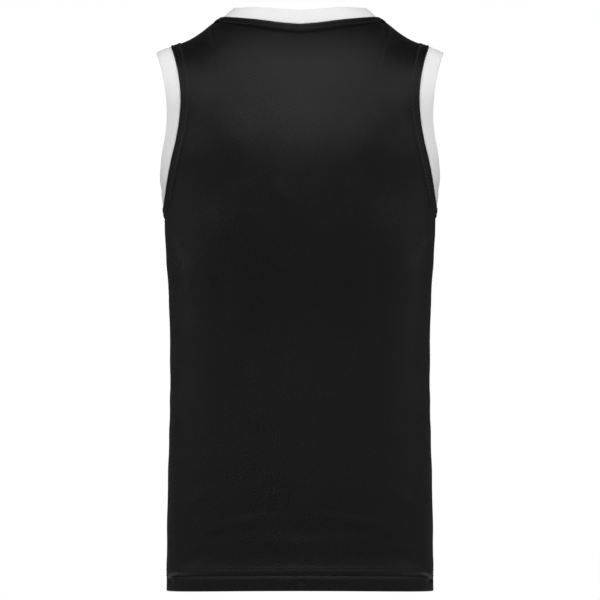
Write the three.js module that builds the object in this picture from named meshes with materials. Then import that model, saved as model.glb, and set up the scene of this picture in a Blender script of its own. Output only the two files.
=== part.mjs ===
// A sleeveless basketball jersey, filled out as if worn, in millimetres with +Z up.
// The front faces -Y and the wearer's left is +X. Heights in the tables are measured from the high
// shoulder point, where the neckline meets the shoulder seam, so they are negative below it.
// The group is then raised so that the origin lies where the wearer's shoulders carry the straps.
import * as THREE from "three";

// Cloth
const CLOTH = 1.6; // wall of one layer of knit
const HEM_CLOTH = 2.6; // wall where the hem is turned up, two layers
const BAND_CLOTH = 2.6; // wall of a doubled band
const SEAM_GAP = 0.3; // clearance between two pieces at a seam
const BAND_WIDTH = 21; // finished width of the neckband and the armhole bands

// Lengths and heights
const BODY_LENGTH = 760; // high shoulder point to hem
const HEM_RISE = 3; // the hem rides up at the middle of the front and the back
const ARMPIT_Z = -252;
const CARRY_Z = -24; // underside of the strap at the middle of the shoulder seam

// Neckline
const NECK_HALF_WIDTH = 103;
const BACK_NECK = { depth: 58, slope: 50 };
const FRONT_NECK = { depth: 104, drop: 116, slope: 72 };
const FRONT_NECK_WRAP = 0.2; // share of its depth that the front neckline loses towards its sides

// Shoulder and armhole
const SHOULDER_TIP_X = 171.5;
const ARMHOLE_WIDEST_Z = -120;
const ARMHOLE_BACK = 68; // from the side seam's plane to the armhole's back edge
const ARMHOLE_FRONT = 60;
const STAND_OFF_REACH = 6; // the higher, the closer to the armhole the cloth stands off
const ARMHOLE_FULLNESS = 2.3; // 2 is an ellipse's curve below the widest point, and more is fuller

// The body's sections. wide is the half width, above the armpits as if the armholes were closed,
// back and front are depths at the middle, and roundness is 1 for an ellipse and less for a
// squarer section.
const SECTIONS = [
  { z: -760, wide: 177.6, back: 121, front: 117, roundness: 0.82 },
  { z: -640, wide: 176.2, back: 120, front: 116, roundness: 0.82 },
  { z: -507, wide: 172.9, back: 115, front: 117, roundness: 0.82 },
  { z: -441, wide: 172.9, back: 113, front: 119, roundness: 0.82 },
  { z: -374, wide: 174.4, back: 114, front: 123, roundness: 0.84 },
  { z: -308, wide: 178.6, back: 117, front: 127, roundness: 0.86 },
  { z: -252, wide: 181.6, back: 119, front: 129, roundness: 0.9 },
  { z: -190, wide: 191, back: 118, front: 125, roundness: 0.97 },
  { z: -150, wide: 201, back: 113, front: 116, roundness: 1.0 },
  { z: -100, wide: 208, back: 101, front: 102, roundness: 1.0 },
];

// Half width of the panels along the armhole.
const ARMHOLE_EDGE = [
  { z: -252, x: 181.6 },
  { z: -215, x: 176.0 },
  { z: -188, x: 170.6 },
  { z: -162, x: 164.4 },
  { z: -135, x: 159.9 },
  { z: -108, x: 157.8 },
];

// The shoulder seam falls from the neck in a hollow line and flattens at the strap's end.
const SHOULDER_SEAM = [
  { x: 103, z: 0.6 },
  { x: 111, z: -2.6 },
  { x: 119, z: -8.8 },
  { x: 131, z: -18.4 },
  { x: 143, z: -26.3 },
  { x: 155, z: -32.0 },
  { x: 171.5, z: -37.3 },
];

// Height of the back neckline, which rises a little beside the neck.
const BACK_NECKLINE = [
  { x: 0, z: -9.1 },
  { x: 26, z: -6.9 },
  { x: 52, z: -3.4 },
  { x: 79, z: -0.7 },
  { x: 96, z: 0.6 },
  { x: 103, z: 0.6 },
];

// How far a band turns out of the panel's surface, in degrees. At the armhole 0 is the armpit and
// 180 the shoulder. At the neck 0 is the middle of the panel and 90 the high shoulder point.
const ARMHOLE_FLARE = [
  { angle: 0, back: -10, front: -10 },
  { angle: 40, back: -10, front: -10 },
  { angle: 80, back: 3, front: 3 },
  { angle: 120, back: 8, front: 8 },
  { angle: 180, back: -5, front: -5 },
];
const NECK_FLARE = [
  { angle: 0, back: 18, front: 0 },
  { angle: 45, back: 14, front: 0 },
  { angle: 90, back: 23, front: 23 },
];

// Where each panel starts to turn over the shoulder, at its middle and at the armhole.
const CAP_START = { back: -100, front: -172, edge: ARMHOLE_WIDEST_Z };

// The hem's rows, by height above its edge. A crease is sunk into it under the stitching.
const HEM_ROWS = [
  { above: 0, sunk: 0 },
  { above: 9, sunk: 0 },
  { above: 18, sunk: 0 },
  { above: 20, sunk: 0.9 },
  { above: 23, sunk: 0 },
  { above: 28, sunk: 0 },
];

// A doubled band's section, from the seam out to the fold and back. out is a share of its width
// and deep a share of its thickness.
const BAND_SECTION = [
  { out: 0, deep: 0 },
  { out: 0.5, deep: -0.15 },
  { out: 0.94, deep: 0 },
  { out: 1, deep: 0.5 },
  { out: 0.94, deep: 1 },
  { out: 0.5, deep: 0.85 },
  { out: 0, deep: 1 },
];

// Columns and rows of a panel's mesh.
const NECK_COLUMNS = 10;
const SHOULDER_COLUMNS = 6;
const BODY_ROWS = 12;
const ARMHOLE_ROWS = 7;
const CAP_ROWS = 8;
const COLUMN_FAN = 35; // degrees by which the columns lean to the neck at the high shoulder point
const COLUMN_SPREAD = 1.15; // above 1 the columns are closer together at the middle of the back neck
const CAP_START_FALL = 1.5; // the higher, the longer a panel's turn keeps to the armhole's height
const EQUAL_DIAGONALS = 0.01;
const HALF_COLUMNS = NECK_COLUMNS + SHOULDER_COLUMNS;
const NECK_SHARE = NECK_COLUMNS / HALF_COLUMNS;
const ARMPIT_ROW = HEM_ROWS.length + BODY_ROWS - 1;
const ARMPIT_RISE = BODY_LENGTH + ARMPIT_Z;

const QUARTER_ELLIPSE = 1.657; // a cubic's end speed, over the radius, for a quarter of an ellipse
const rad = THREE.MathUtils.degToRad;
const { lerp, smoothstep, clamp } = THREE.MathUtils;

function hermite(from, fromSpeed, to, toSpeed, u) {
  const u2 = u * u;
  const u3 = u2 * u;
  return (
    (2 * u3 - 3 * u2 + 1) * from +
    (u3 - 2 * u2 + u) * fromSpeed +
    (3 * u2 - 2 * u3) * to +
    (u3 - u2) * toSpeed
  );
}

// A smooth curve through a table's rows, held at its ends.
function sample(table, key, at, column) {
  const last = table.length - 1;
  if (at <= table[0][key]) return table[0][column];
  if (at >= table[last][key]) return table[last][column];
  const i = table.findIndex((row) => row[key] > at) - 1;
  const slope = (k) => {
    const a = table[Math.max(k - 1, 0)];
    const b = table[Math.min(k + 1, last)];
    return (b[column] - a[column]) / (b[key] - a[key]);
  };
  const span = table[i + 1][key] - table[i][key];
  const u = (at - table[i][key]) / span;
  return hermite(table[i][column], slope(i) * span, table[i + 1][column], slope(i + 1) * span, u);
}

// A point of the neckline. share runs from 0 at the middle to 1 at the high shoulder point.
function backNeckline(share) {
  const turn = (Math.PI / 2) * Math.pow(share, COLUMN_SPREAD);
  const x = NECK_HALF_WIDTH * Math.sin(turn);
  return new THREE.Vector3(x, BACK_NECK.depth * Math.cos(turn), sample(BACK_NECKLINE, "x", x, "z"));
}

function frontNeckline(share) {
  const fall = Math.cos((Math.PI / 2) * (1 - (1 - share) ** 2));
  return new THREE.Vector3(
    NECK_HALF_WIDTH * Math.sqrt(1 - fall ** 2),
    -FRONT_NECK.depth * Math.sqrt(1 - (1 - fall) ** 2) * (1 - FRONT_NECK_WRAP * (1 - fall ** 2)),
    SHOULDER_SEAM[0].z - FRONT_NECK.drop * fall,
  );
}

// The two panels differ only in their depths, their necklines and their side of the body.
const BACK = {
  name: "back",
  sign: 1,
  neck: BACK_NECK,
  neckline: backNeckline,
  armhole: ARMHOLE_BACK,
  capStart: CAP_START.back,
};
const FRONT = {
  name: "front",
  sign: -1,
  neck: FRONT_NECK,
  neckline: frontNeckline,
  armhole: ARMHOLE_FRONT,
  capStart: CAP_START.front,
};

// The body's edge at a height, in front of or behind the side seam's plane: on the side seam up to
// the armpit, and then round the armhole.
function bodyEdge(panel, z) {
  if (z <= ARMPIT_Z) return { x: sample(SECTIONS, "z", z, "wide"), y: 0 };
  const below = clamp((ARMHOLE_WIDEST_Z - z) / (ARMHOLE_WIDEST_Z - ARMPIT_Z), 0, 1);
  return {
    x: sample(ARMHOLE_EDGE, "z", z, "x"),
    y: panel.armhole * Math.pow(1 - Math.pow(below, ARMHOLE_FULLNESS), 1 / ARMHOLE_FULLNESS),
  };
}

// A point of the wrapped body. across runs from 0 at the middle to 1 at the side seam or armhole.
// Beside the armhole the cloth stands off the section until its edge lies where it belongs.
function bodyPoint(panel, across, z) {
  const wide = sample(SECTIONS, "z", z, "wide");
  const deep = sample(SECTIONS, "z", z, panel.name);
  const roundness = sample(SECTIONS, "z", z, "roundness");
  const edge = bodyEdge(panel, z);
  const turnAtEdge = Math.acos(Math.pow(edge.y / deep, 1 / roundness));
  const turn = across * turnAtEdge;
  const standOff = edge.x - wide * Math.sin(turnAtEdge);
  return new THREE.Vector3(
    wide * Math.sin(turn) + standOff * Math.pow(across, STAND_OFF_REACH),
    panel.sign * deep * Math.pow(Math.max(Math.cos(turn), 0), roundness),
    z,
  );
}

// The top edge: the neckline from the middle to the high shoulder point, then the shoulder seam.
// With each point come the surface's normal and the direction in which a column arrives there.
function topEdge(panel, across) {
  const seamPoint = (x) => new THREE.Vector3(x, 0, sample(SHOULDER_SEAM, "x", x, "z"));
  const seamNormal = (x) => {
    const along = seamPoint(x + 1).sub(seamPoint(x));
    return new THREE.Vector3(-along.z, 0, along.x).normalize();
  };
  let point, normal, fan;
  if (across >= NECK_SHARE) {
    const along = (across - NECK_SHARE) / (1 - NECK_SHARE);
    point = seamPoint(lerp(NECK_HALF_WIDTH, SHOULDER_TIP_X, along));
    normal = seamNormal(Math.min(point.x, SHOULDER_TIP_X - 1));
    fan = rad(COLUMN_FAN) * (1 - along);
  } else {
    const share = across / NECK_SHARE;
    const slope = rad(panel.neck.slope);
    point = panel.neckline(share);
    const along = panel.neckline(share + 0.01).sub(point).normalize();
    normal = new THREE.Vector3(0, panel.sign * Math.sin(slope), Math.cos(slope));
    normal.lerp(seamNormal(NECK_HALF_WIDTH), share ** 2);
    normal.addScaledVector(along, -normal.dot(along)).normalize();
    fan = rad(COLUMN_FAN) * share ** 2;
  }
  const arriving = new THREE.Vector3(-Math.sin(fan), -panel.sign * Math.cos(fan), 0);
  arriving.z = -arriving.dot(normal) / normal.z;
  return { point, normal, arriving: arriving.normalize() };
}

// Height at which a column leaves the body and starts to turn over the shoulder.
function capStartZ(panel, across) {
  return lerp(CAP_START.edge, panel.capStart, Math.pow(1 - across * across, CAP_START_FALL));
}

// A point of the turn over the shoulder. up runs from 0 at the body to 1 at the top edge.
function capPoint(panel, across, up) {
  const startZ = capStartZ(panel, across);
  const start = bodyPoint(panel, across, startZ);
  const rising = start.clone().sub(bodyPoint(panel, across, startZ - 1));
  const { point: end, arriving } = topEdge(panel, across);
  const overShoulder = smoothstep(across, 0, NECK_SHARE);
  const chord = start.distanceTo(end);
  const startSpeed = lerp(chord, QUARTER_ELLIPSE * (end.z - startZ), overShoulder);
  const endSpeed = lerp(chord, QUARTER_ELLIPSE * Math.abs(start.y - end.y), overShoulder);
  const along = (axis) =>
    hermite(start[axis], rising[axis] * startSpeed, end[axis], arriving[axis] * endSpeed, up);
  return new THREE.Vector3(along("x"), along("y"), along("z"));
}

// The rows of a panel from the hem to the top edge: each is a function of across.
function panelRows(panel) {
  const hemPoint = (across, above) => {
    const rise = HEM_RISE * Math.cos((across * Math.PI) / 2) ** 2;
    return bodyPoint(panel, across, -BODY_LENGTH + above + rise * (1 - above / ARMPIT_RISE));
  };
  const rows = HEM_ROWS.map(({ above, sunk }) => ({
    wall: HEM_CLOTH,
    sunk,
    at: (across) => hemPoint(across, above),
  }));
  for (let i = 1; i <= BODY_ROWS; i++) {
    const above = lerp(HEM_ROWS.at(-1).above, ARMPIT_RISE, i / BODY_ROWS);
    rows.push({ wall: CLOTH, sunk: 0, at: (across) => hemPoint(across, above) });
  }
  for (let i = 1; i <= ARMHOLE_ROWS; i++) {
    const share = 1 - Math.cos((i / ARMHOLE_ROWS) * (Math.PI / 2));
    const rowZ = (across) => lerp(ARMPIT_Z, capStartZ(panel, across), share);
    rows.push({ wall: CLOTH, sunk: 0, at: (across) => bodyPoint(panel, across, rowZ(across)) });
  }
  for (let i = 1; i <= CAP_ROWS; i++) {
    rows.push({ wall: CLOTH, sunk: 0, at: (across) => capPoint(panel, across, i / CAP_ROWS) });
  }
  return rows;
}

// The two triangles of a four-cornered cell, cut along its shorter diagonal. Where the diagonals
// are as good as equal, even says which one wins, so that the left and the right are mirrored.
function cell(points, a, b, c, d, even = 0) {
  const longer = points[a].distanceTo(points[c]) - points[b].distanceTo(points[d]);
  if (longer < even) return [[a, b, c], [a, c, d]];
  return [[a, b, d], [b, c, d]];
}

function gridTriangles(points, rows, columns) {
  const triangles = [];
  for (let j = 0; j < rows - 1; j++) {
    for (let i = 0; i < columns - 1; i++) {
      const a = j * columns + i;
      const even = i < HALF_COLUMNS ? -EQUAL_DIAGONALS : EQUAL_DIAGONALS;
      triangles.push(...cell(points, a, a + 1, a + 1 + columns, a + columns, even));
    }
  }
  return triangles;
}

// The outer points of a panel, row by row, with the outward normal and the wall at each.
function panelGrid(panel) {
  const grid = panelRows(panel).map((row) => {
    const nodes = [];
    for (let i = -HALF_COLUMNS; i <= HALF_COLUMNS; i++) {
      const point = row.at(Math.abs(i) / HALF_COLUMNS);
      point.x *= Math.sign(i);
      nodes.push({ point, wall: row.wall, sunk: row.sunk });
    }
    return nodes;
  });
  const columns = 2 * HALF_COLUMNS + 1;
  const top = grid.length - 1;
  const points = grid.flat().map((node) => node.point);
  const sheet = new THREE.BufferGeometry().setFromPoints(points);
  sheet.setIndex(gridTriangles(points, grid.length, columns).flat());
  sheet.computeVertexNormals();
  grid.flat().forEach((node, k) => {
    node.normal = new THREE.Vector3().fromBufferAttribute(sheet.attributes.normal, k);
    node.normal.multiplyScalar(-panel.sign);
  });
  grid[top].forEach((node, i) => {
    node.normal = topEdge(panel, Math.abs(i - HALF_COLUMNS) / HALF_COLUMNS).normal;
    node.normal.x *= Math.sign(i - HALF_COLUMNS);
  });
  grid.forEach((nodes, j) =>
    nodes.forEach((node, i) => {
      const onSideSeam = Math.abs(i - HALF_COLUMNS) === HALF_COLUMNS && j <= ARMPIT_ROW;
      const onShoulderSeam = j === top && Math.abs(i - HALF_COLUMNS) >= NECK_COLUMNS;
      if (onSideSeam || onShoulderSeam) {
        node.point.y = (panel.sign * SEAM_GAP) / 2;
        node.normal.setY(0).normalize();
      }
    }),
  );
  for (const node of grid.flat()) node.point.addScaledVector(node.normal, -node.sunk);
  return grid;
}

// A closed surface from a list of points and a list of triangles.
function closedGeometry(points, triangles) {
  const geometry = new THREE.BufferGeometry().setFromPoints(points);
  geometry.setIndex(triangles.flat());
  return geometry.toNonIndexed();
}

// The places of a grid's border, once round.
function border(rows, columns) {
  const loop = [];
  for (let i = 0; i < columns - 1; i++) loop.push(i);
  for (let j = 0; j < rows - 1; j++) loop.push(j * columns + columns - 1);
  for (let i = columns - 1; i > 0; i--) loop.push((rows - 1) * columns + i);
  for (let j = rows - 1; j > 0; j--) loop.push(j * columns);
  return loop;
}

// A panel's wall: the outer points, the same points moved in by the wall, and a rim round both.
function wallGeometry(grid, panel) {
  const outer = grid.flat();
  const count = outer.length;
  const points = [
    ...outer.map((n) => n.point),
    ...outer.map((n) => n.point.clone().addScaledVector(n.normal, -n.wall)),
  ];
  const sheet = gridTriangles(points, grid.length, grid[0].length);
  const inside = sheet.map(([a, b, c]) => [a + count, c + count, b + count]);
  const edge = border(grid.length, grid[0].length);
  const rim = edge.flatMap((a, k) => {
    const b = edge[(k + 1) % edge.length];
    return cell(points, a, a + count, b + count, b);
  });
  const triangles = [...sheet, ...inside, ...rim];
  if (panel.sign > 0) for (const face of triangles) face.reverse();
  return closedGeometry(points, triangles);
}

// A doubled band round a closed edge. Each node has the edge's point and normal, and the flare.
function bandGeometry(nodes) {
  const count = nodes.length;
  const points = [];
  nodes.forEach((node, k) => {
    const along = nodes[(k + 1) % count].point
      .clone()
      .sub(nodes[(k + count - 1) % count].point)
      .normalize();
    const outward = along.clone().cross(node.normal).normalize();
    const flare = rad(node.flare);
    const lean = outward
      .clone()
      .multiplyScalar(Math.cos(flare))
      .addScaledVector(node.normal, Math.sin(flare));
    const face = node.normal
      .clone()
      .multiplyScalar(Math.cos(flare))
      .addScaledVector(outward, -Math.sin(flare));
    const root = node.point.clone().addScaledVector(outward, SEAM_GAP);
    for (const { out, deep } of BAND_SECTION) {
      const inward = out === 0 ? node.normal : face;
      const point = root.clone().addScaledVector(lean, out * BAND_WIDTH);
      points.push(point.addScaledVector(inward, -deep * BAND_CLOTH));
    }
  });
  const section = BAND_SECTION.length;
  const triangles = [];
  for (let k = 0; k < count; k++) {
    for (let m = 0; m < section; m++) {
      const a = k * section + m;
      const b = k * section + ((m + 1) % section);
      const c = ((k + 1) % count) * section + ((m + 1) % section);
      const d = ((k + 1) % count) * section + m;
      triangles.push(...cell(points, a, b, c, d));
    }
  }
  return closedGeometry(points, triangles);
}

// A seam's end, where two panels meet, is one node halfway between their corners.
function joined(a, b, flare) {
  const point = a.point.clone().add(b.point).multiplyScalar(0.5);
  const normal = a.normal.clone().add(b.normal).normalize();
  return { point, normal, flare };
}

// The neckline as a loop: the back from right to left, then the front from left to right.
function neckLoop(backGrid, frontGrid) {
  const backTop = backGrid[backGrid.length - 1];
  const frontTop = frontGrid[frontGrid.length - 1];
  const loop = [];
  for (const [row, mate, column, order] of [
    [backTop, frontTop, "back", -1],
    [frontTop, backTop, "front", 1],
  ]) {
    const corner = HALF_COLUMNS + order * NECK_COLUMNS;
    loop.push(joined(row[corner], mate[corner], sample(NECK_FLARE, "angle", 90, column)));
    for (let i = NECK_COLUMNS - 1; i > -NECK_COLUMNS; i--) {
      const angle = (90 * Math.abs(i)) / NECK_COLUMNS;
      const node = row[HALF_COLUMNS + order * i];
      loop.push({ ...node, flare: sample(NECK_FLARE, "angle", angle, column) });
    }
  }
  return loop;
}

// An armhole as a loop: up the back from the armpit to the shoulder, then down the front.
function armholeLoop(backGrid, frontGrid, side) {
  const column = side > 0 ? 2 * HALF_COLUMNS : 0;
  const top = backGrid.length - 1;
  const span = top - ARMPIT_ROW;
  const flareAt = (j, panel) =>
    sample(ARMHOLE_FLARE, "angle", (180 * (j - ARMPIT_ROW)) / span, panel);
  const seamEnd = (j) => joined(backGrid[j][column], frontGrid[j][column], flareAt(j, "back"));
  const loop = [seamEnd(ARMPIT_ROW)];
  for (let j = ARMPIT_ROW + 1; j < top; j++) {
    loop.push({ ...backGrid[j][column], flare: flareAt(j, "back") });
  }
  loop.push(seamEnd(top));
  for (let j = top - 1; j > ARMPIT_ROW; j--) {
    loop.push({ ...frontGrid[j][column], flare: flareAt(j, "front") });
  }
  return side > 0 ? loop.reverse() : loop;
}

const blackKnit = new THREE.MeshStandardMaterial({ color: 0x1f2020, roughness: 0.75, metalness: 0 });
const whiteKnit = new THREE.MeshStandardMaterial({ color: 0xececec, roughness: 0.8, metalness: 0 });

function piece(name, geometry, material) {
  const mesh = new THREE.Mesh(geometry, material);
  mesh.name = name;
  return mesh;
}

const backGrid = panelGrid(BACK);
const frontGrid = panelGrid(FRONT);
const jersey = new THREE.Group();
jersey.position.z = -CARRY_Z;
jersey.add(piece("back_panel", wallGeometry(backGrid, BACK), blackKnit));
jersey.add(piece("front_panel", wallGeometry(frontGrid, FRONT), blackKnit));
jersey.add(piece("neckband", bandGeometry(neckLoop(backGrid, frontGrid)), whiteKnit));
for (const side of [1, -1]) {
  const name = side > 0 ? "armhole_band_left" : "armhole_band_right";
  jersey.add(piece(name, bandGeometry(armholeLoop(backGrid, frontGrid, side)), whiteKnit));
}

export default jersey;
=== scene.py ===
# A sleeveless basketball jersey, filled out as if worn: the cloth, its doubled bands and its sewing.
# Lengths are in millimetres until a mesh is made. Heights are measured from the high shoulder point,
# where the neckline meets the shoulder seam, so they are negative below it. The front faces -Y.
import math

import bpy
import numpy as np
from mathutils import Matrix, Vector
from mathutils.bvhtree import BVHTree
from mathutils.kdtree import KDTree


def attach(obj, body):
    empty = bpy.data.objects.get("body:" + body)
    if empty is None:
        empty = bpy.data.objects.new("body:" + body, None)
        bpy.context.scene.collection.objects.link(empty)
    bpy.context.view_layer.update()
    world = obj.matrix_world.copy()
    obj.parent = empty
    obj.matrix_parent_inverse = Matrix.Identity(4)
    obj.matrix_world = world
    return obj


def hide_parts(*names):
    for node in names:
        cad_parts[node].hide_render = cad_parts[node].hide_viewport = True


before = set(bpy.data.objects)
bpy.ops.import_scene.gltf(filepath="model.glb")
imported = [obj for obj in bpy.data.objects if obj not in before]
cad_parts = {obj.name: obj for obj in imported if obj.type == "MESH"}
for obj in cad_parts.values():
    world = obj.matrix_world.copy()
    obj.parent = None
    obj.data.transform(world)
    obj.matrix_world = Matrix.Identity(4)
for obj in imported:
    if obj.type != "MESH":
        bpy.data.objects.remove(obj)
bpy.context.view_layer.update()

MM = 0.001
RAISE = 24.0  # the high shoulder point's height over the origin

# The cut, as in the solids
BODY_LENGTH = 760.0
HEM_RISE = 3.0
ARMPIT_Z = -252.0
WIDEST_Z = -120.0
NECK_HALF_WIDTH = 103.0
SHOULDER_TIP_X = 171.5
SEAM_GAP = 0.3
BAND_WIDTH = 21.0
BAND_CLOTH = 2.6
FRONT_NECK_DROP = 116.0
FRONT_NECK_WRAP = 0.2
STAND_OFF_REACH = 6
ARMHOLE_FULLNESS = 2.3
COLUMN_FAN = math.radians(35)
COLUMN_SPREAD = 1.15
NECK_SHARE = 0.625
CAP_START_FALL = 1.5
QUARTER_ELLIPSE = 1.657
ARMPIT_RISE = BODY_LENGTH + ARMPIT_Z
ARMHOLE_SPAN = (7, 8)  # the solids' rows beside the armhole and over the shoulder set the flare's angle

SECTIONS = {
    "z": (-760, -640, -507, -441, -374, -308, -252, -190, -150, -100),
    "wide": (177.6, 176.2, 172.9, 172.9, 174.4, 178.6, 181.6, 191, 201, 208),
    "back": (121, 120, 115, 113, 114, 117, 119, 118, 113, 101),
    "front": (117, 116, 117, 119, 123, 127, 129, 125, 116, 102),
    "roundness": (0.82, 0.82, 0.82, 0.82, 0.84, 0.86, 0.9, 0.97, 1.0, 1.0),
}
ARMHOLE_EDGE = {
    "z": (-252, -215, -188, -162, -135, -108),
    "x": (181.6, 176.0, 170.6, 164.4, 159.9, 157.8),
}
SHOULDER_SEAM = {
    "x": (103, 111, 119, 131, 143, 155, 171.5),
    "z": (0.6, -2.6, -8.8, -18.4, -26.3, -32.0, -37.3),
}
BACK_NECKLINE = {
    "x": (0, 26, 52, 79, 96, 103),
    "z": (-9.1, -6.9, -3.4, -0.7, 0.6, 0.6),
}
ARMHOLE_FLARE = {
    "angle": (0, 40, 80, 120, 180),
    "flare": (-17, -18, -1, 5, -5),
}
NECK_FLARE = {
    "angle": (0, 45, 90),
    "back": (18, 14, 23),
    "front": (0, 0, 23),
}

# The cloth
KNIT = 0.8  # one layer of the body's knit
HEM_KNIT = 1.9  # the hem's two layers
HEM_TURN_UP = 29.0
HEM_STITCHES = (19.6, 27.5)  # heights of the two lines above the edge
HEM_RELIEF = {  # the crease along the lower line, and the swelling over it that the upper line crosses
    "above": (0, 15.5, 18.9, 19.7, 20.6, 25.2, 27.5, 29.4, 33, 44),
    "lift": (0, 0.0, -0.9, -1.6, -1.7, 2.1, 1.5, 1.5, 0.7, 0),
}
STITCH = {"length": 2.5, "pitch": 3.1, "radius": 0.24}
NECK_ZIGZAG = {"swing": math.radians(62), "pitch": 1.5, "length": 4.6}
ARMHOLE_ZIGZAG = {"swing": math.radians(50), "pitch": 2.8, "length": 4.8}
ZIGZAG_RADIUS = 0.38

# Seam allowances lie under the panel beside each seam and lift it. width is to the line of
# stitches, rise the lift, and roll how far the cloth's edge turns down into the seam.
NECK_STRIP = {
    "width": 12.4, "rise": 1.6, "lean": 0.75, "edge": 10.2, "roll": 1.4, "groove": 1.3, "spread": 3.4,
}
ARMHOLE_STRIP = {
    "width": 11.0, "rise": 0.6, "lean": 0.0, "edge": 13.6, "roll": 0.8, "groove": 0.0, "spread": 2.2,
}
ROLL_RIDGE = {"rise": 0.45, "at": 1.3, "width": 1.0}  # the cloth's swelling beside its seam
ROLL_CREASE = {"depth": 0.4, "at": 3.9, "width": 0.5}  # and the crease inside that
ARMPIT_LIFT = {"rise": 1.5, "reach": 13.0}  # where four layers cross at the top of the side seam
TIP_LIFT = {"rise": 0.4, "reach": 7.0}  # and at the shoulder seam's outer end
SHOULDER_RIDGE = {"rise": 0.2, "width": 6.5}
SIDE_GROOVE = {"depth": 0.6, "width": 1.3}


def hermite(start, start_speed, end, end_speed, u):
    return (
        (2 * u**3 - 3 * u**2 + 1) * start
        + (u**3 - 2 * u**2 + u) * start_speed
        + (3 * u**2 - 2 * u**3) * end
        + (u**3 - u**2) * end_speed
    )


def curve(table, key, column, at):
    """A smooth curve through a table's columns, held at its ends."""
    keys = np.array(table[key], float)
    values = np.array(table[column], float)
    before = np.maximum(np.arange(len(keys)) - 1, 0)
    after = np.minimum(np.arange(len(keys)) + 1, len(keys) - 1)
    slopes = (values[after] - values[before]) / (keys[after] - keys[before])
    at = np.clip(at, keys[0], keys[-1])
    i = np.clip(np.searchsorted(keys, at, side="right") - 1, 0, len(keys) - 2)
    span = keys[i + 1] - keys[i]
    u = (at - keys[i]) / span
    return hermite(values[i], slopes[i] * span, values[i + 1], slopes[i + 1] * span, u)


def smooth(x, low, high):
    """0 below low, 1 above high, and smooth between."""
    t = np.clip((x - low) / (high - low), 0, 1)
    return t * t * (3 - 2 * t)


def bell(x, width):
    return np.exp(-((x / width) ** 2))


def mix(a, b, share):
    return a + (b - a) * share


def length_of(v):
    return np.linalg.norm(v, axis=-1, keepdims=True)


def unit(v):
    return v / np.maximum(length_of(v), 1e-9)


def dot(a, b):
    return (a * b).sum(axis=-1, keepdims=True)


def xyz(x, y, z):
    return np.stack(np.broadcast_arrays(x, y, z), axis=-1).astype(float)


# The body's surface


def back_neckline(share):
    turn = np.pi / 2 * share**COLUMN_SPREAD
    x = NECK_HALF_WIDTH * np.sin(turn)
    return xyz(x, BACK["neck_depth"] * np.cos(turn), curve(BACK_NECKLINE, "x", "z", x))


def front_neckline(share):
    fall = np.cos(np.pi / 2 * (1 - (1 - share) ** 2))
    wrap = 1 - FRONT_NECK_WRAP * (1 - fall**2)
    y = -FRONT["neck_depth"] * np.sqrt(1 - (1 - fall) ** 2) * wrap
    x = NECK_HALF_WIDTH * np.sqrt(1 - fall**2)
    return xyz(x, y, SHOULDER_SEAM["z"][0] - FRONT_NECK_DROP * fall)


BACK = {
    "name": "back",
    "sign": 1,
    "neck_depth": 58.0,
    "slope": math.radians(50),
    "neckline": back_neckline,
    "armhole": 68.0,
    "cap_start": -100.0,
}
FRONT = {
    "name": "front",
    "sign": -1,
    "neck_depth": 104.0,
    "slope": math.radians(72),
    "neckline": front_neckline,
    "armhole": 60.0,
    "cap_start": -172.0,
}


def body_edge(panel, z):
    """The body's edge: on the side seam up to the armpit, and then round the armhole."""
    below = np.clip((WIDEST_Z - z) / (WIDEST_Z - ARMPIT_Z), 0, 1)
    y = panel["armhole"] * (1 - below**ARMHOLE_FULLNESS) ** (1 / ARMHOLE_FULLNESS)
    x = curve(ARMHOLE_EDGE, "z", "x", z)
    under = z <= ARMPIT_Z
    return np.where(under, curve(SECTIONS, "z", "wide", z), x), np.where(under, 0, y)


def body_point(panel, across, z):
    """A point of the wrapped body. across is 0 at the middle and 1 at the side seam or armhole."""
    wide = curve(SECTIONS, "z", "wide", z)
    deep = curve(SECTIONS, "z", panel["name"], z)
    roundness = curve(SECTIONS, "z", "roundness", z)
    edge_x, edge_y = body_edge(panel, z)
    turn_at_edge = np.arccos((edge_y / deep) ** (1 / roundness))
    turn = across * turn_at_edge
    stand_off = (edge_x - wide * np.sin(turn_at_edge)) * across**STAND_OFF_REACH
    y = panel["sign"] * deep * np.maximum(np.cos(turn), 0) ** roundness
    return xyz(wide * np.sin(turn) + stand_off, y, z)


def seam_point(x):
    return xyz(x, 0 * x, curve(SHOULDER_SEAM, "x", "z", x))


def seam_normal(x):
    along = seam_point(x + 1) - seam_point(x)
    return unit(xyz(-along[..., 2], 0, along[..., 0]))


def top_edge(panel, across):
    """The neckline and then the shoulder seam: points, normals and the directions of arrival."""
    sign, slope = panel["sign"], panel["slope"]
    share = np.minimum(across / NECK_SHARE, 1)
    h = 0.005
    neck = panel["neckline"](share)
    tangent = panel["neckline"](np.minimum(share + h, 1)) - panel["neckline"](np.maximum(share - h, 0))
    tangent = unit(tangent)
    facing = xyz(0 * share, sign * math.sin(slope), math.cos(slope))
    facing = mix(facing, seam_normal(np.full_like(share, NECK_HALF_WIDTH)), share[..., None] ** 2)
    neck_normal = unit(facing - dot(facing, tangent) * tangent)
    along = np.clip((across - NECK_SHARE) / (1 - NECK_SHARE), 0, 1)
    x = mix(NECK_HALF_WIDTH, SHOULDER_TIP_X, along)
    on_seam = (across >= NECK_SHARE)[..., None]
    point = np.where(on_seam, seam_point(x), neck)
    normal = np.where(on_seam, seam_normal(np.minimum(x, SHOULDER_TIP_X - 1)), neck_normal)
    fan = COLUMN_FAN * np.where(across >= NECK_SHARE, 1 - along, share**2)
    flat = xyz(-np.sin(fan), -sign * np.cos(fan), 0)
    flat[..., 2] = -dot(flat, normal)[..., 0] / normal[..., 2]
    return point, normal, unit(flat)


def cap_start(panel, across):
    return mix(WIDEST_Z, panel["cap_start"], (1 - across**2) ** CAP_START_FALL)


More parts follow.
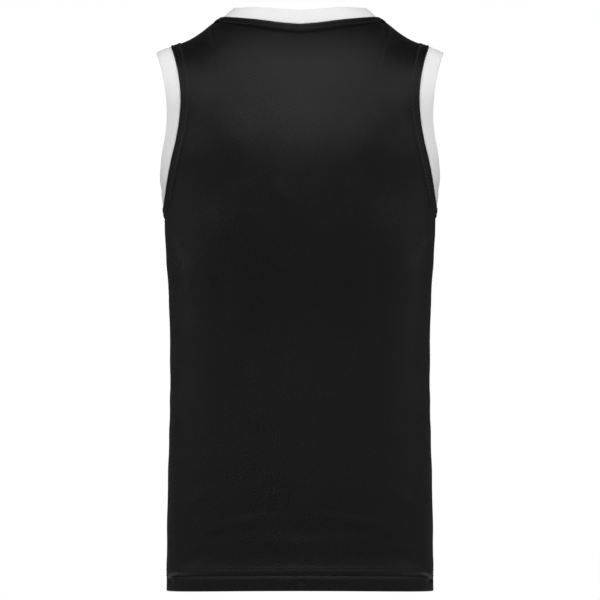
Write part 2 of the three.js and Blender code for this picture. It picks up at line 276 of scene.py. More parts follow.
def cap_point(panel, across, up):
    """A point of the turn over the shoulder. up is 0 at the body and 1 at the top edge."""
    start_z = cap_start(panel, across)
    start = body_point(panel, across, start_z)
    rising = start - body_point(panel, across, start_z - 1)
    end, _, arriving = top_edge(panel, across)
    over = smooth(across, 0, NECK_SHARE)
    chord = np.linalg.norm(end - start, axis=-1)
    start_speed = mix(chord, QUARTER_ELLIPSE * (end[..., 2] - start_z), over)
    end_speed = mix(chord, QUARTER_ELLIPSE * np.abs(start[..., 1] - end[..., 1]), over)
    return hermite(
        start, rising * start_speed[..., None], end, arriving * end_speed[..., None], up[..., None]
    )


# The grid of a panel's fine mesh, closer together where the sewing is


def steps(*stops):
    """Places from stop to stop: (place, how many steps to the next), with the last place alone."""
    parts = [
        np.linspace(a[0], b[0], a[1], endpoint=False) for a, b in zip(stops[:-1], stops[1:])
    ]
    return np.concatenate([*parts, [stops[-1][0]]])


HALF_COLUMNS = steps((0, 50), (0.56, 10), (NECK_SHARE, 20), (0.92, 18), (1.0, 0))
COLUMNS = np.concatenate([-HALF_COLUMNS[:0:-1], HALF_COLUMNS])
HEM_ROWS = steps((0, 9), (16.6, 6), (HEM_STITCHES[0], 3), (21.2, 6), (HEM_STITCHES[1], 4), (32, 0))
LOW_ROWS = np.concatenate([HEM_ROWS, steps((32, 96), (ARMPIT_RISE, 0))[1:]])
ARMHOLE_ROWS = steps((0, 44), (1, 0))[1:]
CAP_ROWS = steps((0, 25), (0.84, 6), (0.89, 34), (1, 0))[1:]
ARMPIT_ROW = len(LOW_ROWS) - 1


def panel_surface(panel):
    """The panel's points and outward normals."""
    across = np.abs(COLUMNS)[None, :]
    rise = HEM_RISE * np.cos(across * np.pi / 2) ** 2
    above = LOW_ROWS[:, None]
    low = -BODY_LENGTH + above + rise * (1 - above / ARMPIT_RISE)
    share = 1 - np.cos(ARMHOLE_ROWS[:, None] * np.pi / 2)
    z = np.vstack([low, mix(ARMPIT_Z, cap_start(panel, across), share)])
    body = body_point(panel, np.broadcast_to(across, z.shape), z)
    shape = (len(CAP_ROWS), len(COLUMNS))
    cap = cap_point(
        panel, np.broadcast_to(across, shape), np.broadcast_to(CAP_ROWS[:, None], shape)
    )
    points = np.concatenate([body, cap])
    points[..., 0] *= np.sign(COLUMNS)
    normals = unit(np.cross(np.gradient(points, axis=1), np.gradient(points, axis=0)))
    normals *= np.sign((normals[10, len(COLUMNS) // 2, 1]) * panel["sign"])
    _, top_normals, _ = top_edge(panel, across[0])
    top_normals[:, 0] *= np.where(COLUMNS < 0, -1, 1)
    normals[-1] = top_normals
    for column in (0, -1):
        points[: ARMPIT_ROW + 1, column, 1] = panel["sign"] * SEAM_GAP / 2
        normals[: ARMPIT_ROW + 1, column, 1] = 0
    on_seam = np.abs(COLUMNS) >= NECK_SHARE
    points[-1, on_seam, 1] = panel["sign"] * SEAM_GAP / 2
    return points, unit(normals)


def running_length(points):
    """Length along a panel's rows, from the first column."""
    spans = np.linalg.norm(np.diff(points, axis=1), axis=-1)
    return np.cumsum(np.pad(spans, ((0, 0), (1, 0))), axis=1)


def running_height(points):
    """Length up a panel's columns without their slant: heights alone until the turn over the top."""
    spans = np.diff(points, axis=0)
    spans[: ARMPIT_ROW + len(ARMHOLE_ROWS), :, 1] = 0
    return np.cumsum(np.pad(np.hypot(spans[..., 1], spans[..., 2]), ((1, 0), (0, 0))), axis=0)


def dense(line, step=0.5):
    """A line of points with others put between them, about step apart."""
    out = [line[:1]]
    for a, b in zip(line[:-1], line[1:]):
        count = max(int(np.linalg.norm(b - a) / step), 1)
        out.append(a + (b - a) * (np.arange(1, count + 1) / count)[:, None])
    return np.concatenate(out)


def distance_to(line, points):
    """Each grid point's distance to a line."""
    line = dense(line)
    tree = KDTree(len(line))
    for i, p in enumerate(line):
        tree.insert(p, i)
    tree.balance()
    flat = points.reshape(-1, 3)
    return np.array([tree.find(p)[2] for p in flat]).reshape(points.shape[:2])


# The main creases. x is the length round from the middle, z the height, turn the
# angle from level in degrees, length half the crease's own, width its softness, rise its height
# and bow how far its ends fall away from its middle. Where mirror is 1 both sides have it.
FOLD_COLUMNS = ("x", "z", "turn", "length", "width", "rise", "bow", "mirror")
BACK_FOLDS = (
    (66, -425, 88, 105, 14, -1.6, 5, 1),
    (104, -372, 84, 90, 15, -1.9, -6, 1),
    (86, -395, 86, 95, 11, 0.9, 3, 1),
    (0, -520, 90, 150, 30, 1.3, 0, 0),
    (126, -233, 62, 60, 20, -2.4, 10, 1),
    (96, -150, 70, 66, 26, 1.6, 8, 1),
    (14, -300, 80, 52, 13, -0.8, 5, 0),
    (22, -236, 56, 24, 9, 0.8, 3, 0),
    (-6, -345, 86, 40, 9, 0.6, 3, 0),
    (84, -668, -14, 82, 6.5, 0.75, 9, 1),
    (92, -682, -16, 90, 6, -0.7, 10, 1),
    (60, -655, -8, 60, 7, -0.6, 6, 1),
    (4, -694, 0, 92, 6, 0.6, 4, 0),
    (-10, -677, 2, 70, 6, -0.45, 4, 0),
    (138, -700, -24, 50, 7, 0.8, 6, 1),
    (150, -640, -30, 46, 9, 0.8, 5, 1),
    (150, -716, -20, 40, 8, -1.0, 4, 1),
    (176, -300, 52, 46, 9, -1.2, 5, 1),
    (168, -330, 60, 54, 10, 0.9, 6, 1),
    (184, -470, 70, 60, 12, -0.8, 4, 1),
)
FRONT_FOLDS = (
    (0, -560, 90, 130, 34, 1.4, 0, 0),
    (72, -440, 84, 120, 17, -1.8, 6, 1),
    (112, -402, 80, 96, 15, 1.2, -5, 1),
    (138, -250, 55, 66, 18, -2.2, 9, 1),
    (92, -210, 66, 60, 20, 1.4, 6, 1),
    (30, -246, 40, 44, 12, -0.9, 5, 0),
    (-24, -232, -44, 38, 11, -0.8, 4, 0),
    (12, -330, 82, 60, 13, -0.7, 5, 0),
    (80, -664, -12, 80, 7, 0.8, 9, 1),
    (96, -682, -15, 84, 6.5, -0.7, 9, 1),
    (-8, -690, 2, 84, 6.5, 0.6, 4, 0),
    (20, -672, 3, 60, 6, -0.5, 4, 0),
    (146, -704, -22, 48, 8, 0.9, 6, 1),
    (168, -318, 58, 52, 10, -1.2, 5, 1),
    (178, -450, 70, 64, 12, 0.8, 5, 1),
)


def folds(table, x, z):
    """The height of all creases at each point."""
    total = np.zeros_like(x)
    for row in table:
        fold = dict(zip(FOLD_COLUMNS, row))
        for side in (1, -1) if fold["mirror"] else (1,):
            turn = math.radians(fold["turn"])
            dx, dz = side * x - fold["x"], z - fold["z"]
            along = (dx * math.cos(turn) + dz * math.sin(turn)) / fold["length"]
            off = dz * math.cos(turn) - dx * math.sin(turn) + fold["bow"] * along**2
            fade = np.clip(1 - along**2, 0, 1) ** 2
            total += fold["rise"] * bell(off, fold["width"]) * fade
    return total


def strip(distance, sizes):
    """The lift of the cloth over a seam allowance, its stitched groove and its rolled edge."""
    width = sizes["width"]
    beyond = smooth(distance, sizes["edge"] - 0.6, sizes["edge"] + 0.8)
    lift = sizes["rise"] * (1 - sizes["lean"] * np.clip(distance / sizes["edge"], 0, 1)) * (1 - beyond)
    groove = sizes["groove"] * beyond * (1 - smooth(distance, width - 1, width + sizes["spread"]))
    roll = sizes["roll"] * bell(distance, 0.9)
    ridge = ROLL_RIDGE["rise"] * bell(distance - ROLL_RIDGE["at"], ROLL_RIDGE["width"])
    crease = ROLL_CREASE["depth"] * bell(distance - ROLL_CREASE["at"], ROLL_CREASE["width"])
    return lift + ridge - crease - groove - roll


def hem_relief(above, from_side, x):
    """The hem's crease and swelling, the dimples at its side seams and its puckers."""
    sag = 4.5 * (1 - smooth(from_side, 25, 60))  # the crease bends down beside the side seam
    crease = np.interp(above + sag, HEM_RELIEF["above"], HEM_RELIEF["lift"])
    crease = crease * smooth(from_side, 10, 40)
    corner = -2.6 * bell(from_side - 36, 11) * bell(above - 12.6, 3.4)
    puckers = -1.5 * (bell(np.abs(x) - 10.5, 4) * bell(above - 35.5, 1.9))
    puckers += -1.4 * bell(x + 2, 3) * bell(above - 11, 3.5)
    waves = 0.2 * np.sin(x / 7.3 + 1.7 * np.sin(x / 31)) * bell(above - 23.5, 6)
    return crease + corner + puckers + waves


def build_panel(panel):
    """A panel's fine outer and inner points, its surface's points and normals, its cloth coordinates and
    its length round from the middle.
    """
    points, normals = panel_surface(panel)
    middle = len(COLUMNS) // 2
    round_x = running_length(points)
    from_side = np.minimum(round_x, round_x[:, -1:] - round_x)
    round_x = round_x - round_x[:, middle : middle + 1]
    up_z = running_height(points)
    neck_columns = np.abs(COLUMNS) <= NECK_SHARE
    right, left = points[ARMPIT_ROW:, 0], points[ARMPIT_ROW:, -1]
    to_neck = distance_to(points[-1][neck_columns], points)
    to_armhole = np.minimum(distance_to(right, points), distance_to(left, points))
    to_shoulder = np.minimum(
        distance_to(points[-1][COLUMNS >= NECK_SHARE], points),
        distance_to(points[-1][COLUMNS <= -NECK_SHARE], points),
    )
    armpits = np.minimum(
        np.linalg.norm(points - right[0], axis=-1), np.linalg.norm(points - left[0], axis=-1)
    )
    tips = np.minimum(
        np.linalg.norm(points - right[-1], axis=-1), np.linalg.norm(points - left[-1], axis=-1)
    )
    soft = folds(BACK_FOLDS if panel is BACK else FRONT_FOLDS, round_x, points[..., 2])
    calm = smooth(np.minimum(to_neck, np.minimum(to_armhole, to_shoulder)), 4, 30)
    soft *= calm * smooth(from_side, 0, 16)
    lift = strip(to_neck, NECK_STRIP)
    lifted_armhole = strip(to_armhole, ARMHOLE_STRIP)
    inside_strip = 1 - smooth(to_armhole, ARMHOLE_STRIP["width"] - 2, ARMHOLE_STRIP["width"])
    lifted_armhole += ARMPIT_LIFT["rise"] * bell(armpits, ARMPIT_LIFT["reach"]) * inside_strip
    lifted_armhole += TIP_LIFT["rise"] * bell(tips, TIP_LIFT["reach"]) * inside_strip
    lift = lift * smooth(to_armhole, 3, 12) + lifted_armhole * smooth(to_neck, 3, 12)
    if panel is BACK:
        lift += SHOULDER_RIDGE["rise"] * (1 - smooth(to_shoulder, 4, SHOULDER_RIDGE["width"]))
    lift -= 0.5 * bell(to_shoulder, 1.2) * smooth(to_neck, 1, 5)
    below_armpit = (np.arange(len(points)) <= ARMPIT_ROW)[:, None]
    side = SIDE_GROOVE["depth"] * bell(from_side, SIDE_GROOVE["width"])
    side += 0.3 * np.sin(up_z / 8.7 + 1.3 * np.sin(up_z / 37)) * bell(from_side - 5, 4)
    lift -= np.where(below_armpit, side, 0)
    above = np.broadcast_to(
        np.concatenate([LOW_ROWS, np.full(len(points) - len(LOW_ROWS), 999.0)])[:, None],
        from_side.shape,
    )
    lift += hem_relief(above, from_side, round_x)
    walls = mix(HEM_KNIT, KNIT, smooth(above, HEM_TURN_UP - 2, HEM_TURN_UP))[..., None]
    base = points + normals * soft[..., None]
    outer = base + normals * lift[..., None]
    hem_dent = np.minimum(hem_relief(above, from_side, round_x), 0) * (above < 60)
    inner = base + normals * (hem_dent[..., None] - walls)
    cloth = np.stack([round_x, up_z, np.minimum(to_armhole, 200)], axis=-1) * MM
    return {
        "points": points,
        "normals": normals,
        "outer": outer,
        "inner": inner,
        "cloth": cloth,
        "round": round_x,
    }


# Meshes


def placed(points):
    """Points in metres, in the part's frame."""
    return (np.asarray(points).reshape(-1, 3) + (0, 0, RAISE)) * MM


def mesh_piece(name, points, faces, material, cloth=None):
    mesh = bpy.data.meshes.new(name)
    mesh.from_pydata(placed(points).tolist(), [], faces)
    mesh.polygons.foreach_set("use_smooth", [True] * len(mesh.polygons))
    if cloth is not None:
        layer = mesh.attributes.new("cloth", "FLOAT_VECTOR", "POINT")
        layer.data.foreach_set("vector", np.asarray(cloth, dtype=np.float32).ravel())
    mesh.materials.append(material)
    mesh.update()
    piece = bpy.data.objects.new(name, mesh)
    bpy.context.scene.collection.objects.link(piece)
    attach(piece, "root")
    return piece


def grid_faces(rows, columns, first=0, flip=False):
    j, i = np.meshgrid(np.arange(rows - 1), np.arange(columns - 1), indexing="ij")
    a = (j * columns + i + first).ravel()
    quads = np.stack([a, a + 1, a + 1 + columns, a + columns], axis=1)
    return quads[:, ::-1] if flip else quads


def border(rows, columns):
    """A grid's border, once round."""
    low = np.arange(columns - 1)
    right = np.arange(rows - 1) * columns + columns - 1
    high = (rows - 1) * columns + np.arange(columns - 1, 0, -1)
    left = np.arange(rows - 1, 0, -1) * columns
    return np.concatenate([low, right, high, left])


def panel_piece(panel, built, material):
    """The panel as a thin closed shell with a rounded rim."""
    rows, columns = built["outer"].shape[:2]
    outer, inner = built["outer"].reshape(-1, 3), built["inner"].reshape(-1, 3)
    count = rows * columns
    edge = border(rows, columns)
    inward = np.clip(edge // columns, 1, rows - 2) * columns + np.clip(edge % columns, 1, columns - 2)
    outward = unit(outer[edge] - outer[inward])
    wall = length_of(outer[edge] - inner[edge])
    rim = (outer[edge] + inner[edge]) / 2 + outward * np.minimum(0.32 * wall, 0.12)
    on_hem = edge < columns
    rim[on_hem] = (outer[edge] + inner[edge])[on_hem] / 2 - (0, 0, 0.7)
    flip = panel["sign"] > 0
    faces = [grid_faces(rows, columns, 0, flip), grid_faces(rows, columns, count, not flip)]
    k = np.arange(len(edge))
    after = (k + 1) % len(edge)
    for a, b in ((edge, 2 * count + k), (2 * count + k, edge + count)):
        quads = np.stack([a[k], b[k], b[after], a[after]], axis=1)
        faces.append(quads[:, ::-1] if flip else quads)
    cloth = built["cloth"].reshape(-1, 3)
    return mesh_piece(
        panel["name"] + "_panel_cloth",
        np.concatenate([outer, inner, rim]),
        np.concatenate(faces).tolist(),
        material,
        np.concatenate([cloth, cloth, cloth[edge]]),
    )


# Loops round the neck and the armholes


def resampled(loop, values, count):
    """A closed loop's points and values at count equal steps round it."""
    closed = np.concatenate([loop, loop[:1]])
    at = np.concatenate([[0], np.cumsum(np.linalg.norm(np.diff(closed, axis=0), axis=1))])
    wanted = np.arange(count) / count * at[-1]
    out = []
    for value in (loop, *values):
        ring = np.concatenate([value, value[:1]])
        out.append(np.stack([np.interp(wanted, at, ring[:, k]) for k in range(ring.shape[1])], 1))
    return out, at[-1]


def softened(values, reach):
    """Values round a closed loop, averaged over a few neighbours to each side."""
    weights = bell(np.arange(-2 * reach, 2 * reach + 1), reach)
    total = sum(
        w * np.roll(values, shift, axis=0)
        for w, shift in zip(weights, range(-2 * reach, 2 * reach + 1))
    )
    return total / weights.sum()


def edge_loop(points, normals, interior, flares, count):
    """A closed edge with, at each step, the surface's normal, the way out of it and the flare."""
    (points, normals, interior, flares), length = resampled(
        points, (normals, interior, flares), count
    )
    normals = unit(softened(normals, 4))
    along = unit(np.roll(points, -1, axis=0) - np.roll(points, 1, axis=0))
    outward = unit(np.cross(along, normals))
    outward *= np.sign(dot(outward, points - interior).sum())
    return {
        "points": points,
        "normals": normals,
        "outward": outward,
        "along": along,
        "flares": softened(flares, 6)[:, 0],
        "length": length,
    }


def neck_loop(back, front, count):
    keep = np.abs(COLUMNS) <= NECK_SHARE
    parts = []
    for built, name, order in ((back, "back", -1), (front, "front", 1)):
        flare = curve(NECK_FLARE, "angle", name, 90 * np.abs(COLUMNS[keep]) / NECK_SHARE)
        row = np.stack([built["points"][-1], built["normals"][-1], built["points"][-4]])[:, keep]
        row = row[:, ::order]
        flare = flare[::order]
        row[0, [0, -1], 1] = 0
        parts.append((row[:, :-1], flare[:-1]))
    rows = np.concatenate([p[0] for p in parts], axis=1)
    flares = np.concatenate([p[1] for p in parts])[:, None]
    return edge_loop(rows[0], rows[1], rows[2], flares, count)


def armhole_loop(back, front, side, count):
    column, inside = (-1, -4) if side > 0 else (0, 3)
    low, high = ARMHOLE_SPAN
    turns = np.concatenate([[0], low * ARMHOLE_ROWS, low + high * CAP_ROWS]) / (low + high)
    flare = curve(ARMHOLE_FLARE, "angle", "flare", 180 * turns)
    parts = []
    for built, order in ((back, 1), (front, -1)):
        row = np.stack(
            [
                built["points"][ARMPIT_ROW:, column],
                built["normals"][ARMPIT_ROW:, column],
                built["points"][ARMPIT_ROW:, inside],
            ]
        )[:, ::order]
        row[0, [0, -1], 1] = 0
        parts.append((row[:, :-1], flare[::order][:-1]))
    rows = np.concatenate([p[0] for p in parts], axis=1)
    flares = np.concatenate([p[1] for p in parts])[:, None]
    return edge_loop(rows[0], rows[1], rows[2], flares, count)


BAND_OUTS = (0, 0.35, 0.7, 1.1, 1.5, 1.9, 2.3, 2.7, 3.0, 3.3, 3.7, 4.4, 6, 8, 10, 12, 14, 16, 18)
BAND_BACK_OUTS = (18, 15, 12, 9, 6, 4, 2.5, 1.2, 0)
FOLD_TURNS = 7


def band_face(out):
    """Height of a band's outer face: rolled into the seam, a narrow ridge, a stitched line and then
    the flat of the band, a little swollen."""
    ridge = 0.5 * bell(out - 1.5, 0.95) - 0.28 * bell(out - 3.0, 0.5) - 0.7 * bell(out, 0.55)
    return 0.35 * np.sin(np.pi * np.clip(out / BAND_WIDTH, 0, 1)) + ridge


def band_section():
    """The section of a doubled band as places out from the seam and heights over its outer face."""
    outs = np.array(BAND_OUTS, float)
    radius = BAND_CLOTH / 2
    turns = np.linspace(90, -90, FOLD_TURNS) * math.pi / 180
    fold_out = BAND_WIDTH - radius + radius * np.cos(turns)
    fold_height = -radius + radius * np.sin(turns)
    back = np.array(BAND_BACK_OUTS, float)
    back_height = -BAND_CLOTH + 0.25 * np.sin(np.pi * back / BAND_WIDTH)
    out = np.concatenate([outs, fold_out, back])
    height = np.concatenate([band_face(outs), fold_height, back_height])
    return out, height


def band_piece(name, loop, material):
    """A doubled band round an edge, as one closed tube."""
    out, height = band_section()
    count = len(loop["points"])
    flare = np.radians(loop["flares"])[:, None]
    lean = loop["outward"] * np.cos(flare) + loop["normals"] * np.sin(flare)
    face = loop["normals"] * np.cos(flare) - loop["outward"] * np.sin(flare)
    root = loop["points"] + loop["outward"] * SEAM_GAP
    at = np.arange(count) / count * loop["length"]
    ripple = 0.16 * np.sin(at / 9.1 + 1.9 * np.sin(at / 57))[:, None] * smooth(out, 3, 14)
    share = smooth(out, 0, 2.5)[None, :, None]
    up = mix(loop["normals"][:, None], face[:, None], share)
    points = root[:, None] + lean[:, None] * out[None, :, None]
    points = points + up * (height[None, :] + ripple)[..., None]
    section = len(out)
    k, m = np.meshgrid(np.arange(count), np.arange(section), indexing="ij")
    k2, m2 = (k + 1) % count, (m + 1) % section
    quads = np.stack(
        [(x * section + y).ravel() for x, y in ((k, m), (k, m2), (k2, m2), (k2, m))], axis=1
    )
    centre = points.mean(axis=(0, 1))
    flat = points.reshape(-1, 3)
    a, b, c = flat[quads[:, 0]] - centre, flat[quads[:, 1]] - centre, flat[quads[:, 2]] - centre
    if dot(a, np.cross(b, c)).sum() < 0:
        quads = quads[:, ::-1]
    around = np.cumsum(np.concatenate([[0], np.hypot(np.diff(out), np.diff(height))]))
    cloth = np.zeros((count, section, 3))
    cloth[..., 0] = at[:, None]
    cloth[..., 1] = around[None, :]
    return mesh_piece(
        name, points, quads.tolist(), material, cloth.reshape(-1, 3) * MM
    )


# Sewing


class Surface:
    """The cloth's outer or inner side, on which sewing is laid."""

    def __init__(self, panels, side):
        points, faces, first = [], [], 0
        for panel, built in panels:
            grid = built[side]
            rows, columns = grid.shape[:2]
            flip = (panel["sign"] > 0) == (side == "outer")
            points.append(grid.reshape(-1, 3))
            faces.append(grid_faces(rows, columns, first, flip))
            first += rows * columns
        self.tree = BVHTree.FromPolygons(
            np.concatenate(points).tolist(), np.concatenate(faces).tolist()
        )

    def nearest(self, points):
        """The nearest places on the cloth, and the ways off it."""
        found = [self.tree.find_nearest(Vector(p))[:2] for p in points]
        return np.array([f[0] for f in found]), np.array([f[1] for f in found])


def capsule_template(sides=6):
    """A stitch of unit length along X and unit radius, bowed a little: its points and its faces."""
    rings = ((-0.5, 0.35), (-0.42, 0.85), (-0.2, 1.0), (0.2, 1.0), (0.42, 0.85), (0.5, 0.35))
    turn = np.arange(sides) / sides * 2 * math.pi
    points = np.concatenate(
        [xyz(x, r * np.cos(turn), r * np.sin(turn) + 0.4 - 1.6 * x * x) for x, r in rings]
    )
    faces = []
    for ring in range(len(rings) - 1):
        for s in range(sides):
            a, b = ring * sides + s, ring * sides + (s + 1) % sides
            faces.append((a, a + sides, b + sides, b))
    last = (len(rings) - 1) * sides
    faces.append(tuple(range(sides)))
    faces.append(tuple(last + s for s in reversed(range(sides))))
    return points, faces


def stitches(name, rows, material, radius=STITCH["radius"]):
    """Rows of stitches as one mesh. A row has centres, vectors along each stitch and ways off."""
    shape, faces = capsule_template()
    points, polygons, first = [], [], 0
    for centres, along, off in rows:
        side = unit(np.cross(off, along)) * radius
        up = unit(np.cross(along, side)) * radius
        made = centres[:, None] + along[:, None] * shape[None, :, :1]
        made = made + side[:, None] * shape[None, :, 1:2] + up[:, None] * shape[None, :, 2:]
        points.append(made.reshape(-1, 3))
        for _ in range(len(centres)):
            polygons.extend(tuple(first + i for i in face) for face in faces)
            first += len(shape)
    return mesh_piece(name, np.concatenate(points), polygons, material)


def spaced(line, pitch):
    """Places along an open line, pitch apart, and the ways along it there."""
    at = np.concatenate([[0], np.cumsum(np.linalg.norm(np.diff(line, axis=0), axis=1))])
    count = int(at[-1] / pitch)
    wanted = (np.arange(count) + 0.5) / count * at[-1]

    def place(where):
        return np.stack([np.interp(where, at, line[:, k]) for k in range(3)], axis=1)

    return place(wanted), unit(place(wanted + 0.5) - place(wanted - 0.5))


def line_stitches(line, surface, lift=0.1, swing=0.0, pitch=STITCH["pitch"], length=STITCH["length"]):
    """One row of stitches along a line, laid on the cloth. swing turns them into a zigzag."""
    centres, along = spaced(line, pitch)
    centres, off = surface.nearest(centres)
    along = unit(along - dot(along, off) * off)
    side = np.cross(off, along)
    turns = swing * np.where(np.arange(len(along)) % 2, 1.0, -1.0)[:, None]
    along = along * np.cos(turns) + side * np.sin(turns)
    return centres + off * lift, along * length, off


def around(loop):
    """A loop's points with the first repeated at the end."""
    return np.concatenate([loop, loop[:1]])


def inside_edge(loop, width, surface):
    """The line on the cloth at a distance inside an edge."""
    return surface.nearest(loop["points"] - loop["outward"] * width)[0]


# Those round the neck and the armholes lie under the ends of the shoulders' and the sides'.
ALLOWANCE = {"over": 0.8, "wall": 1.1, "clear": 0.12, "clear_round": 0.5, "steps": 5}


def allowance(name, points, outward, normals, width, inside, material, closed):
    """The overlocked seam allowance inside a seam, from just past the edge to width inside it."""
    backs = np.linspace(-ALLOWANCE["over"], width, ALLOWANCE["steps"])
    clear = ALLOWANCE["clear_round" if closed else "clear"]
    tops, downs = [], []
    for back in backs:
        at = points - outward * back - normals * (KNIT + 0.4)
        near, off = inside.nearest(at)
        down = unit(-normals * 0.4 + off * np.sign(dot(off, -normals)))
        root = near + down * clear if back > 0 else at
        tops.append(root)
        downs.append(root + down * ALLOWANCE["wall"])
    ring = np.stack(tops + downs[::-1], axis=1)
    count, section = ring.shape[:2]
    last = count if closed else count - 1
    faces = []
    for k in range(last):
        for m in range(section):
            a, b = k * section + m, k * section + (m + 1) % section
            after = ((k + 1) % count) * section
            faces.append((a, b, after + (m + 1) % section, after + m))
    if not closed:
        faces.append(tuple(reversed(range(section))))
        faces.append(tuple((count - 1) * section + m for m in range(section)))
    at = np.concatenate([[0], np.cumsum(np.linalg.norm(np.diff(points, axis=0), axis=1))])
    cloth = np.zeros((count, section, 3))
    cloth[..., 0] = at[:, None]
    cloth[..., 1] = np.concatenate([backs, backs[::-1]])[None, :]
    piece = mesh_piece(name, ring, faces, material, cloth.reshape(-1, 3) * MM)
    turned_out(piece)
    return piece


def turned_out(piece):
    """Turns a closed mesh's faces outward."""
    mesh = piece.data
    mesh.calc_loop_triangles()
    corners = np.array([[mesh.vertices[i].co for i in t.vertices] for t in mesh.loop_triangles])
    volume = dot(corners[:, 0], np.cross(corners[:, 1], corners[:, 2])).sum()
    if volume < 0:
        mesh.flip_normals()


# Materials


class Nodes:
    """A material's node tree, built up by short calls."""

    def __init__(self, name):
        self.material = bpy.data.materials.new(name)
        self.material.use_nodes = True
        self.tree = self.material.node_tree
        self.shader = self.tree.nodes["Principled BSDF"]

    def add(self, kind, inputs=(), **settings):
        node = self.tree.nodes.new(kind)
        for key, value in settings.items():
            setattr(node, key, value)
        for key, value in dict(inputs).items():
            self.join(value, node.inputs[key])
        return node

    def join(self, value, socket):
        if isinstance(value, bpy.types.NodeSocket):
            self.tree.links.new(value, socket)
        else:
            socket.default_value = value

    def math(self, operation, a, b=0.0, c=0.0):
        return self.add("ShaderNodeMath", {0: a, 1: b, 2: c}, operation=operation).outputs[0]

    def wave(self, across, pitch):
        """A sine of the given pitch in metres, from -1 to 1."""
        turns = self.math("MULTIPLY", across, 2 * math.pi / pitch)
        return self.math("SINE", turns)

    def groove(self, wave):
        """Narrow grooves between broad ribs: 1 at the bottom of each, and 0 on the ribs."""
        return self.math("POWER", self.math("MULTIPLY_ADD", wave, -0.5, 0.5), 2.5)

    def slanted(self, x, y, angle):
        """A coordinate that runs at an angle to x."""
        along = self.math("MULTIPLY", x, math.cos(angle))
        return self.math("MULTIPLY_ADD", y, math.sin(angle), along)


# The knit's diagonal ribs lean both ways, a at one angle to the middle and b at its mirror image.
KNIT_GRAIN = {"pitch": 0.0029, "lean": math.radians(35), "loop": 0.00085}


def body_knit():
    """Near-black knit: two crossing sets of fine slanted ribs, of which now one, now the other shows."""
    made = Nodes("body_knit")
    cloth = made.add("ShaderNodeAttribute", attribute_name="cloth")
    place = made.add("ShaderNodeSeparateXYZ", {0: cloth.outputs["Vector"]})
    x = made.math("ABSOLUTE", place.outputs[0])
    y = place.outputs[1]
    spot = made.add("ShaderNodeCombineXYZ", {0: x, 1: y}).outputs[0]
    fine = made.add("ShaderNodeTexNoise", {"Vector": spot, "Scale": 260.0, "Detail": 2.0})
    broad = made.add("ShaderNodeTexNoise", {"Vector": spot, "Scale": 17.0, "Detail": 1.0})
    drift = made.math("MULTIPLY", fine.outputs["Fac"], 0.0012)
    lean, pitch = KNIT_GRAIN["lean"], KNIT_GRAIN["pitch"]
    ribs_a = made.wave(made.math("ADD", made.slanted(x, y, lean), drift), pitch)
    ribs_b = made.wave(made.math("ADD", made.slanted(x, y, math.pi - lean), drift), pitch)
    outward = made.math("MULTIPLY_ADD", x, 3.5, -0.35)
    lead = made.math("MULTIPLY_ADD", broad.outputs["Fac"], 9.0, made.math("ADD", outward, -4.5))
    share = made.add(
        "ShaderNodeClamp", {"Value": made.math("MULTIPLY_ADD", lead, y, 0.5), "Min": 0.08, "Max": 0.92}
    ).outputs[0]
    part_b = made.math("MULTIPLY", made.groove(ribs_b), share)
    part_a = made.math("MULTIPLY", made.groove(ribs_a), made.math("SUBTRACT", 1.0, share))
    loops = made.math(
        "MULTIPLY", made.wave(x, KNIT_GRAIN["loop"]), made.wave(y, KNIT_GRAIN["loop"])
    )
    grooves = made.math("ADD", part_a, part_b)
    height = made.math("SUBTRACT", made.math("MULTIPLY", loops, 0.1), grooves)
    grain = made.math("MULTIPLY_ADD", grooves, -1.0, made.math("MULTIPLY", fine.outputs["Fac"], 0.6))
    grain = made.math("ADD", grain, 0.5)
    tone = made.add("ShaderNodeValToRGB", {0: grain})
    tone.color_ramp.elements[0].position = 0.15
    tone.color_ramp.elements[0].color = (0.0002, 0.0002, 0.0002, 1)
    tone.color_ramp.elements[1].position = 0.85
    tone.color_ramp.elements[1].color = (0.0038, 0.0040, 0.0040, 1)
    bump = made.add(
        "ShaderNodeBump", {"Height": height, "Distance": 0.0003, "Strength": 0.9}
    )
    rough = made.math("MULTIPLY_ADD", grain, -0.3, 0.63)
    made.join(tone.outputs[0], made.shader.inputs["Base Color"])
    made.join(rough, made.shader.inputs["Roughness"])
    made.join(bump.outputs[0], made.shader.inputs["Normal"])
    made.shader.inputs["Specular IOR Level"].default_value = 0.2
    made.shader.inputs["Sheen Weight"].default_value = 0.035
    made.shader.inputs["Sheen Roughness"].default_value = 0.4
    return made.material


